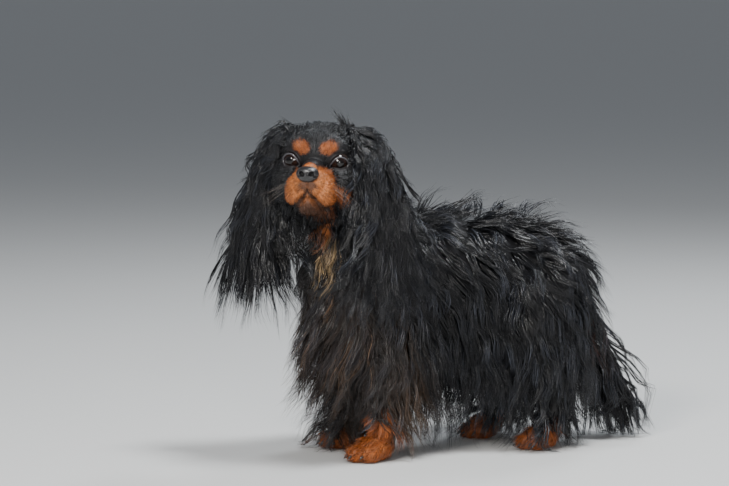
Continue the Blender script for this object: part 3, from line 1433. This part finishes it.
def hair_mesh(name, points, facing, width, colours, places, gleam=None):
    """Closed three-sided hairs that taper to their tips, with their colours and bake map."""
    total, rows = points.shape[0], points.shape[1]
    steps = rows - 1
    along = np.empty_like(points)
    along[:, 1:-1] = points[:, 2:] - points[:, :-2]
    along[:, 0] = points[:, 1] - points[:, 0]
    along[:, -1] = points[:, -1] - points[:, -2]
    along = normalised(along)
    side = normalised(np.cross(along, facing))
    front = np.cross(side, along)
    share = np.arange(steps) / steps
    half = (0.7 + 0.3 * np.sin(math.pi * np.minimum(share * 1.6, 1.0))) * (1 - share**2.5)
    half = half[None, :, None] * width[:, None, None] / 2
    corners = []
    for angle in (0.5 * math.pi, 7 / 6 * math.pi, 11 / 6 * math.pi):
        aside = side[:, :-1] * math.cos(angle)
        ahead = front[:, :-1] * math.sin(angle) * HAIR_FLATNESS
        corners.append(points[:, :-1] + (aside + ahead) * half)
    rings = np.stack(corners, axis=2).reshape(total, steps * 3, 3)
    verts = np.concatenate([rings, points[:, -1:]], axis=1)
    each = steps * 3 + 1
    quads = []
    for row in range(steps - 1):
        for k in range(3):
            a, b = row * 3 + k, row * 3 + (k + 1) % 3
            quads.append((a, b, b + 3, a + 3))
    base = (steps - 1) * 3
    ends = [(base + k, base + (k + 1) % 3, base + 3) for k in range(3)]
    ends.append((2, 1, 0))
    offset = (np.arange(total) * each)[:, None, None]
    faces = [(np.array(ends)[None] + offset).reshape(-1, 3)]
    if quads:
        faces.insert(0, (np.array(quads)[None] + offset).reshape(-1, 4))
    mesh = mesh_from(name, verts.reshape(-1, 3), faces)
    tip = np.append(np.repeat(share, 3), 1.0)
    shade = 0.75 + 0.5 * tip
    colours = colours[:, None, :] * shade[None, :, None]
    if gleam is not None:
        lit = np.concatenate([np.repeat(gleam[:, :-1], 3, axis=1), gleam[:, -1:]], axis=1)
        colours = colours + lit[..., None] * np.array(HAIR_GLEAM)
    paint(mesh, colours.reshape(-1, 3))
    across = np.append(np.tile((0.0, 0.5, 1.0), steps), 0.5)
    patch = np.stack([across, tip], 1) * BAKE_PATCH
    uv = (places[:, None, :] + patch[None]).reshape(-1, 2)
    loops = np.concatenate([part.ravel() for part in faces])
    layer = mesh.uv_layers.new(name="OFBake")
    layer.data.foreach_set("uv", uv[loops].astype(np.float32).ravel())
    return link_piece(name, mesh)


def round_map(points, axis):
    """An unwrap of the skin round one of its axes: the turn across, the way along it up."""
    a, b = [k for k in range(3) if k != axis]
    middle = (points.min(0) + points.max(0)) / 2
    turn = np.arctan2(points[:, b] - middle[b], points[:, a] - middle[a]) / (2 * math.pi)
    low, high = points[:, axis].min(), points[:, axis].max()
    way = (points[:, axis] - low) / (high - low)
    return np.stack([0.01 + 0.97 * (turn + 0.5), 0.01 + 0.97 * way], 1)


def plant(row, lie, density, length_range, rise_range):
    """The roots of a coat, with the length, direction and rise of the hair at each."""
    roots, normals = the_skin().roots(row["region"], row["locks"], row["seed"], density)
    lengths, lies, rises = lie(roots, normals)
    rng = np.random.default_rng(row["seed"] + 1)
    lengths = lengths * rng.uniform(*length_range, len(roots))
    rises = rises * rng.uniform(*rise_range, len(roots))
    return rng, roots, normals, lengths, lies, rises


def grow_coat(name, lie=body_lie, density=None):
    """Grows one coat of long hair from its row in the table of coats."""
    row = COATS[name]
    settings = bpy.context.scene.spaniel
    skin = the_skin()
    seed = row["seed"]
    planted = plant(row, lie, density, LONG_LENGTHS, LONG_RISES)
    rng, roots, normals, lengths, lies, rises = planted
    lengths = lengths * settings.coat_length
    swirl = np.stack([ripple(roots, SWIRL_SCALE, k) for k in (1.0, 2.0, 3.0)], 1)
    stray = row["stray"] * (1.0 + BACK_STRAY * smooth_step(*BACK_LOOSE, roots[:, 2:]))
    lies = normalised(lies + row["swirl"] * swirl + rng.normal(0, 1.0, lies.shape) * stray)
    waving = (row["steps"], row["wave"], row["turn"], seed + 2)
    guides = comb(skin.tree, roots, normals, lies, lengths, rises, *waving)
    points, facing, gleam = locks(skin, guides, row, seed + 3)
    rng = np.random.default_rng(seed + 4)
    colours = np.minimum(coat_colour(points[:, 0]), coat_colour(points[:, 2]))
    colours = colours * np.exp(rng.normal(0.0, LONG_SHADES, (len(points), 1)))
    widths = row["width"] * rng.uniform(*LONG_WIDTHS, len(points)) * settings.hair_width
    places = round_map(points[:, 0], row["axis"])
    obj = hair_mesh(name, points, facing, widths, colours, places, gleam)
    finish_piece(obj, hair_material())


def grow_short_coat(name, lie, density=None):
    """Grows one coat of short hair, each hair on its own root."""
    row = COATS[name]
    planted = plant(row, lie, density, SHORT_LENGTHS, SHORT_RISES)
    rng, roots, normals, lengths, lies, rises = planted
    lies = normalised(lies + rng.normal(0, row["stray"], lies.shape))
    points, facing = short_lines(roots, normals, lies, lengths, rises, row["steps"])
    colours = coat_colour(roots) * np.exp(rng.normal(0.0, SHORT_SHADES, (len(roots), 1)))
    widths = row["width"] * rng.uniform(*SHORT_WIDTHS, len(roots))
    places = round_map(roots, row["axis"])
    obj = hair_mesh(name, points, facing, widths, colours, places)
    finish_piece(obj, hair_material())


def coat(region, locks, hairs, steps, width, seed, **other):
    """One row of the table of coats, with the usual values where none is given."""
    row = {"spread": 0.0075, "clump": 0.88, "frizz": 0.0022, "wave": 0.0125, "stray": 0.09}
    row.update(axis=1, turn=0.062, cut=0.70, gleam=1.0, swirl=0.22)
    row.update(region=region, locks=locks, hairs=hairs, steps=steps, width=width, seed=seed)
    row.update(other)
    return row


# What differs from the usual coat on the ears, the tail and the crown
EAR = {
    "axis": 2,
    "wave": 0.0068,
    "turn": 0.031,
    "cut": 0.82,
    "clump": 0.86,
    "gleam": 0.55,
    "swirl": 0.09,
    "stray": 0.06,
}
TAIL_HAIR = {"axis": 2, "spread": 0.0050, "wave": 0.0080, "clump": 0.80, "frizz": 0.0016}
CROWN = {"axis": 2, "spread": 0.0045, "wave": 0.0016, "frizz": 0.0008, "gleam": 0.3}

# The coats: the regions of the skin, how many locks, how many hairs in each, their steps and
# width, the seed, and what differs from the usual coat
COATS = {
    "coat_trunk_left": coat(["trunk_left"], 350, 12, 8, 0.0016, 11),
    "coat_trunk_right": coat(["trunk_right"], 235, 10, 8, 0.0017, 21),
    "coat_rump": coat(["rump"], 215, 12, 8, 0.0016, 31),
    "coat_chest": coat(["chest"], 240, 12, 8, 0.0015, 41, wave=0.0100),
    "coat_neck": coat(["neck"], 190, 11, 6, 0.0013, 51, axis=2, wave=0.0080),
    "coat_ear_left": coat(["ear_left", "ear_left_in"], 200, 11, 12, 0.0015, 61, **EAR),
    "coat_ear_right": coat(["ear_right", "ear_right_in"], 215, 11, 12, 0.0016, 71, **EAR),
    "coat_forelegs": coat(["forelegs"], 250, 11, 8, 0.0014, 81, axis=2, spread=0.0060),
    "coat_hindlegs": coat(["hindlegs"], 235, 11, 8, 0.0015, 91, axis=2, spread=0.0060),
    "coat_tail": coat(["tail"], 195, 10, 8, 0.0018, 101, **TAIL_HAIR),
    "coat_crown": coat(["head"], 320, 8, 6, 0.0011, 111, swirl=0.10, **CROWN),
    "coat_face": coat(["head"], 10500, 1, 2, 0.00070, 121, axis=2, stray=0.16),
    "coat_paws": coat(["paws"], 3800, 1, 2, 0.00120, 131, axis=2, stray=0.28),
}


# Settings


class SpanielSettings(bpy.types.PropertyGroup):
    """Sizes and colours of the spaniel, and how far away it is seen from"""

    coat_length: FloatProperty(
        name="Coat Length",
        description="How long the coat is, next to a full adult coat",
        default=1.0,
        min=0.2,
        max=1.3,
        subtype="FACTOR",
    )
    hair_width: FloatProperty(
        name="Hair Width",
        description="How wide the strands of long hair are, next to their usual width",
        default=1.0,
        min=0.5,
        max=2.0,
        subtype="FACTOR",
    )
    whiskers: IntProperty(
        name="Whiskers",
        description="How many whiskers grow on each side of the muzzle",
        default=11,
        min=0,
        max=30,
    )
    iris_colour: FloatVectorProperty(
        name="Iris",
        description="Colour of the iris",
        default=(0.015, 0.007, 0.005),
        size=3,
        min=0.0,
        max=1.0,
        subtype="COLOR",
    )
    camera_distance: FloatProperty(
        name="Camera Distance",
        description="How far the camera stands from the middle of the dog",
        default=3.6,
        min=1.0,
        max=10.0,
        unit="LENGTH",
    )


# Operators


class SPANIEL_OT_skin(bpy.types.Operator):
    """Melt the trunk, legs, paws, tail, head and ear leathers into one painted skin"""

    bl_idname = "spaniel.skin"
    bl_label = "Skin"

    def execute(self, context):
        parts = [body_skin(), head_skin()]
        parts += [paw_skin(*paw) for paw in PAWS]
        for rows, spread, _ in EARS:
            parts.append(tube(rows, spread, sides=36, count=40, domes=4, cup=EAR_CUP))
        for number, part in enumerate(parts):
            marked = part.data.attributes.new("part", "INT", "POINT")
            marked.data.foreach_set("value", [number] * len(part.data.vertices))
        skin = joined("skin", parts)
        points = points_of(skin.data)
        paint(skin.data, coat_colour(points))
        put_points(skin.data, points + np.array(SHIFT))
        skin.data.update()
        skin.data.shade_smooth()
        nodes = sorted(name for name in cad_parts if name.startswith(FLESH))
        finish_piece(skin, skin_material(), nodes)
        return {"FINISHED"}


class SPANIEL_OT_eyes(bpy.types.Operator):
    """Make the two wet, dark eyes and the rims of their lids"""

    bl_idname = "spaniel.eyes"
    bl_label = "Eyes and Lids"

    def execute(self, context):
        iris = np.array(context.scene.spaniel.iris_colour)
        wet, shader = new_material("wet_eye", iris, 0.04, Specular_IOR_Level=0.45)
        colour_from_fur(wet, shader)
        rim, shader = new_material("lid_rim", LID_COLOUR, 0.32, Coat_Weight=0.5)
        grain = texture(rim, "ShaderNodeTexNoise", (900, 900, 900))
        add_bump(rim, shader, grain.outputs["Fac"], 0.0003, 0.5)
        for side, sign in (("left", 1), ("right", -1)):
            ball = link_piece("eyeball_" + side, self.ball("eyeball_" + side, sign, iris))
            finish_piece(ball, wet, ["eye_" + side])
            finish_piece(link_piece("lid_" + side, self.rim("lid_" + side, sign)), rim)
        return {"FINISHED"}

    def ball(self, name, sign, iris):
        """The eyeball, with a raised cornea, looking through the middle of the lids."""
        bm = bmesh.new()
        turn = Matrix.Rotation(math.pi / 2, 4, "Y")
        gaze = Matrix.Rotation(math.asin(-float(lid_middle(0.0, sign)) / EYE_RADIUS), 4, "Y")
        bmesh.ops.create_uvsphere(bm, u_segments=72, v_segments=56, radius=EYE_RADIUS, matrix=turn)
        rel = np.array([v.co for v in bm.verts])
        out = np.sqrt(rel[:, 1] ** 2 + rel[:, 2] ** 2)
        dome = np.where(rel[:, 0] > 0, CORNEA_RISE * np.exp(-((out / CORNEA_REACH) ** 4)), 0.0)
        for vertex, lift in zip(bm.verts, dome):
            vertex.co.x += lift
            vertex.co = eye_matrix(sign) @ gaze @ vertex.co + SHIFT
        mesh = mesh_of(name, bm)
        mesh.shade_smooth()
        angle = np.arctan2(rel[:, 2], rel[:, 1])
        streaks = 1.0 + 0.35 * np.sin(angle * 23) * np.sin(angle * 41 + 1.0)
        colour = np.tile(iris, (len(rel), 1)) * streaks[:, None]
        colour = colour * (0.75 + 0.6 * smooth_step(*IRIS_GLOW, out))[:, None]
        for edge, tint in EYE_RINGS:
            colour = blend_in(colour, tint, smooth_step(*edge, out))
        paint(mesh, colour)
        return mesh

    def rim(self, name, sign):
        """The lids' edge: an almond ring that lies on the ball, thicker above."""
        count, sides = 72, 12
        angles = [2 * math.pi * k / count for k in range(count)]
        centres = []
        for angle in angles:
            aside = EYE_OPENING[0] * math.cos(angle)
            height = math.copysign(abs(math.sin(angle)) ** 1.2, math.sin(angle))
            height = height * EYE_OPENING[1] + float(lid_middle(aside, sign))
            reach = EYE_RADIUS + RIM_LIFT
            ahead = math.sqrt(max(reach**2 - aside**2 - height**2, 1e-9))
            centres.append(Vector((ahead, aside, height)))
        points = []
        for k, (angle, centre) in enumerate(zip(angles, centres)):
            along = (centres[(k + 1) % count] - centres[k - 1]).normalized()
            out = centre.normalized()
            side = along.cross(out).normalized()
            thick = RIM_THICKNESS + RIM_EXTRA_ABOVE * max(0.0, math.sin(angle))
            for turn in range(sides):
                lean = 2 * math.pi * turn / sides
                place = centre + (out * math.sin(lean) + side * math.cos(lean)) * thick
                points.append(eye_matrix(sign) @ place)
        faces = []
        for k in range(count):
            base, ahead = k * sides, (k + 1) % count * sides
            for turn in range(sides):
                beside = (turn + 1) % sides
                faces.append((base + turn, ahead + turn, ahead + beside, base + beside))
        return mesh_from(name, np.array(points), np.array(faces))


class SPANIEL_OT_nose(bpy.types.Operator):
    """Make the moist, pebbled nose with its two nostrils and the groove between them"""

    bl_idname = "spaniel.nose"
    bl_label = "Nose"

    def execute(self, context):
        bm = bmesh.new()
        bmesh.ops.create_uvsphere(bm, u_segments=128, v_segments=96, radius=1.0)
        rel = np.array([v.co for v in bm.verts])
        local = np.abs(rel) ** NOSE_SQUARENESS * np.sign(rel) * np.array(NOSE_RADII)
        f, _, u = local.T
        local[:, 1] *= 1.0 - NOSE_NARROWING * smooth_step(0.0, -0.010, u)
        side = np.abs(local[:, 1])
        front = smooth_step(0.0, 0.004, f)
        (aside, height, half_width, half_height), depth = NOSTRIL
        lean = u - height - 0.25 * (side - aside)
        hole = ((side - aside) / half_width) ** 2 + (lean / half_height) ** 2
        rise = 0.0007 * np.exp(-((np.sqrt(hole) - 1.6) ** 2) / 0.08)
        dent = depth * np.exp(-(hole**2))
        (aside, height, half_width, half_height), depth = NOSTRIL_SLIT
        slope = u - height + 0.35 * (side - aside)
        slit = ((side - aside) / half_width) ** 2 + (slope / half_height) ** 2
        dent = dent + depth * np.exp(-slit)
        dent += GROOVE_DEPTH * bell(side, 0.0, 0.0007) * smooth_step(0.005, -0.001, u)
        local[:, 0] += front * (rise - dent)
        world = from_head(local + np.array(NOSE_AT)) + np.array(SHIFT)
        for vertex, place in zip(bm.verts, world):
            vertex.co = place
        mesh = mesh_of("nose_leather", bm)
        mesh.shade_smooth()
        leather, shader = new_material("moist_leather", LEATHER_COLOUR, 0.30, Coat_Weight=0.35)
        shader.inputs["Coat Roughness"].default_value = 0.18
        pebbles = texture(leather, "ShaderNodeTexVoronoi", (1300, 1300, 1300))
        add_bump(leather, shader, pebbles.outputs["Distance"], 0.00025, 0.6)
        finish_piece(link_piece("nose_leather", mesh), leather, ["nose"])
        return {"FINISHED"}


class SPANIEL_OT_trunk_coat(bpy.types.Operator):
    """Grow the long coat of the trunk, rump, chest and neck"""

    bl_idname = "spaniel.trunk_coat"
    bl_label = "Coat of the Trunk"

    def execute(self, context):
        for name in ("coat_trunk_left", "coat_trunk_right"):
            grow_coat(name, body_lie, fuller_below)
        for name in ("coat_rump", "coat_chest", "coat_neck"):
            grow_coat(name)
        return {"FINISHED"}


class SPANIEL_OT_leg_coat(bpy.types.Operator):
    """Grow the feathering of the legs and tail and the short hair of the paws"""

    bl_idname = "spaniel.leg_coat"
    bl_label = "Coat of the Legs and Tail"

    def execute(self, context):
        for name in ("coat_forelegs", "coat_hindlegs", "coat_tail"):
            grow_coat(name)
        grow_short_coat("coat_paws", paw_lie)
        return {"FINISHED"}


class SPANIEL_OT_ear_coat(bpy.types.Operator):
    """Grow the long, wavy hair of the ears"""

    bl_idname = "spaniel.ear_coat"
    bl_label = "Coat of the Ears"

    def execute(self, context):
        for name in ("coat_ear_left", "coat_ear_right"):
            grow_coat(name, ear_lie, thin_inside)
        return {"FINISHED"}


class SPANIEL_OT_head_coat(bpy.types.Operator):
    """Grow the short hair of the face and the longer hair behind it"""

    bl_idname = "spaniel.head_coat"
    bl_label = "Coat of the Head"

    def execute(self, context):
        grow_coat("coat_crown", head_lie, long_on_head)
        grow_short_coat("coat_face", head_lie, short_on_head)
        return {"FINISHED"}


class SPANIEL_OT_whiskers(bpy.types.Operator):
    """Set the whiskers on both sides of the muzzle and over the eyes"""

    bl_idname = "spaniel.whiskers"
    bl_label = "Whiskers"

    def execute(self, context):
        skin = the_skin()
        rng = np.random.default_rng(7)
        roots, ways, lengths = [], [], []
        for sign in (1, -1):
            for k in range(context.scene.spaniel.whiskers):
                f = 0.062 + 0.012 * rng.random() + 0.004 * (k % 3)
                u = -0.020 - 0.0045 * (k % 4) - 0.002 * rng.random()
                roots.append((f, sign * 0.03, u))
                ways.append((0.25 - 0.5 * rng.random(), sign, -0.30 - 0.50 * rng.random()))
                lengths.append(0.024 + 0.018 * rng.random())
            for k in range(2):
                roots.append((0.045, sign * (0.018 + 0.006 * k), 0.030))
                ways.append((0.5, sign * 0.4, 1.0))
                lengths.append(0.012 + 0.006 * rng.random())
        roots = from_head(np.array(roots))
        ways = normalised(np.array(ways)) @ HEAD_TURN.T
        lengths = np.array(lengths)
        share = np.linspace(0, 1, 8)
        lines = np.empty((len(roots), 8, 3))
        for k, root in enumerate(roots):
            near, facing, _, _ = skin.tree.find_nearest(Vector(root))
            start = np.array(near - facing * 0.001)
            reach = share[:, None] * lengths[k] * ways[k][None]
            sag = -0.10 * lengths[k] * share**2
            lines[k] = start + reach
            lines[k, :, 2] += sag
        facing = np.zeros_like(lines)
        facing[..., 2] = 1.0
        widths = np.full(len(lines), WHISKER_WIDTH)
        colours = np.tile(np.array(WHISKER_COLOUR), (len(lines), 1))
        places = round_map(lines[:, 0], 2)
        obj = hair_mesh("whiskers", lines, facing, widths, colours, places)
        finish_piece(obj, hair_material())
        return {"FINISHED"}


class SPANIEL_OT_claws(bpy.types.Operator):
    """Set a short dark claw at the end of each toe"""

    bl_idname = "spaniel.claws"
    bl_label = "Claws"

    def execute(self, context):
        points, quads, ends = [], [], []
        sides, rows = 10, 9
        for x, y, scale in PAWS:
            for aside, ahead in TOES:
                before, height = CLAW_END
                outward = x + aside * scale * CLAW_SPREAD
                tip = np.array((outward, y + ahead * scale - before, height))
                before, height = CLAW_ROOT
                root = np.array((x + aside * scale, y + ahead * scale - before * scale, height))
                quads += ring_faces(len(points), rows, sides)
                for row in range(rows):
                    share = row / rows
                    middle = root + (tip - root) * share
                    middle = middle + np.array(CLAW_BEND) * math.sin(math.pi * share)
                    radius = CLAW_RADIUS * (1.0 - share**2.2) + CLAW_TIP
                    for k in range(sides):
                        angle = 2 * math.pi * k / sides
                        out = (radius * math.cos(angle) * 0.8, 0.0, radius * math.sin(angle))
                        points.append(middle + np.array(out))
                first, last = len(points) - sides, len(points)
                points.append(tip)
                ends += [(first + k, first + (k + 1) % sides, last) for k in range(sides)]
        mesh = mesh_from("claws", np.array(points), [np.array(quads), np.array(ends)])
        horn, shader = new_material("horn", HORN_COLOUR, 0.30, Coat_Weight=0.3)
        grain = texture(horn, "ShaderNodeTexNoise", (300, 60, 900), Detail=3.0)
        add_bump(horn, shader, grain.outputs["Fac"], 0.0002, 0.6)
        finish_piece(link_piece("claws", mesh), horn)
        return {"FINISHED"}


class SPANIEL_OT_collar(bpy.types.Operator):
    """Give the collar its woven look and the ring its polish"""

    bl_idname = "spaniel.collar"
    bl_label = "Collar and Ring"

    def execute(self, context):
        web, shader = new_material("woven_web", WEB_COLOUR, 0.6)
        weave = texture(web, "ShaderNodeTexWave", (900, 900, 900), Distortion=0.6)
        add_bump(web, shader, weave.outputs["Fac"], 0.0004, 0.8)
        steel, shader = new_material("bright_steel", STEEL_COLOUR, 0.18, Metallic=1.0)
        wear = texture(steel, "ShaderNodeTexNoise", (500, 500, 500), Detail=4.0)
        add_bump(steel, shader, wear.outputs["Fac"], 0.0001, 0.3)
        for name, material in (("collar", web), ("collar_ring", steel)):
            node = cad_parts[name]
            node.data.materials.clear()
            node.data.materials.append(material)
        return {"FINISHED"}


class SPANIEL_OT_stage(bpy.types.Operator):
    """Lay the pale floor, hang the soft lights and set the camera"""

    bl_idname = "spaniel.stage"
    bl_label = "Floor, Light and Camera"

    def execute(self, context):
        bm = bmesh.new()
        bmesh.ops.create_circle(bm, cap_ends=True, segments=96, radius=FLOOR_RADIUS)
        floor = link_piece("floor", mesh_of("floor", bm))
        material, shader = new_material("pale_floor", FLOOR_COLOUR, 0.75)
        grain = texture(material, "ShaderNodeTexNoise", (40, 40, 40), Detail=5.0)
        add_bump(material, shader, grain.outputs["Fac"], 0.0005, 0.2)
        floor.data.materials.append(material)
        floor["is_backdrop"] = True
        world = bpy.data.worlds.new("soft_light")
        world.use_nodes = True
        sky = world.node_tree.nodes["Background"]
        set_sockets(sky, {"Color": (*SKY_COLOUR, 1.0), "Strength": SKY_STRENGTH})
        context.scene.world = world
        target = Vector(LOOK_AT) + SHIFT
        for name, place, size, power, colour in LAMPS:
            light = bpy.data.lights.new(name, "AREA")
            light.size = size
            light.energy = power
            light.color = colour
            lamp = link_form(name, light)
            lamp.location = Vector(place)
            lamp.rotation_euler = (lamp.location - target).to_track_quat("Z", "Y").to_euler()
        self.camera(context.scene, target)
        return {"FINISHED"}

    def camera(self, scene, target):
        """Sets the camera back from the target, on the side that the photo is taken from."""
        camera = link_form("camera", bpy.data.cameras.new("camera"))
        level = math.cos(CAMERA_ELEVATION)
        aside, ahead = math.sin(CAMERA_AZIMUTH) * level, -math.cos(CAMERA_AZIMUTH) * level
        back = Vector((aside, ahead, math.sin(CAMERA_ELEVATION)))
        camera.location = target + back * scene.spaniel.camera_distance
        camera.rotation_euler = back.to_track_quat("Z", "Y").to_euler()
        camera.data.sensor_width = SENSOR_WIDTH
        camera.data.lens = FOCAL_PIXELS / VIEW_PIXELS * SENSOR_WIDTH
        camera.data.clip_end = 1000.0
        scene.camera = camera


class SPANIEL_PT_panel(bpy.types.Panel):
    """Lists the spaniel's sizes and the steps that build it"""

    bl_idname = "SPANIEL_PT_panel"
    bl_label = "Spaniel"
    bl_space_type = "VIEW_3D"
    bl_region_type = "UI"
    bl_category = "Spaniel"

    def draw(self, context):
        settings = context.scene.spaniel
        for name in SpanielSettings.__annotations__:
            self.layout.prop(settings, name)
        for operator in OPERATORS:
            self.layout.operator(operator.bl_idname)


OPERATORS = (
    SPANIEL_OT_stage,
    SPANIEL_OT_skin,
    SPANIEL_OT_eyes,
    SPANIEL_OT_nose,
    SPANIEL_OT_head_coat,
    SPANIEL_OT_ear_coat,
    SPANIEL_OT_trunk_coat,
    SPANIEL_OT_leg_coat,
    SPANIEL_OT_whiskers,
    SPANIEL_OT_claws,
    SPANIEL_OT_collar,
)
CLASSES = (SpanielSettings, *OPERATORS, SPANIEL_PT_panel)


def register():
    for kind in CLASSES:
        bpy.utils.register_class(kind)
    bpy.types.Scene.spaniel = PointerProperty(type=SpanielSettings)


def unregister():
    del bpy.types.Scene.spaniel
    for kind in reversed(CLASSES):
        bpy.utils.unregister_class(kind)


def main():
    register()
    for operator in OPERATORS:
        group, name = operator.bl_idname.split(".")
        getattr(getattr(bpy.ops, group), name)()
    boxes = {"cad": CAD_BOX, "visual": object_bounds()}
    for name, corners in boxes.items():
        boxes[name] = [[float(value) for value in corner] for corner in corners]


if __name__ == "__main__":
    main()
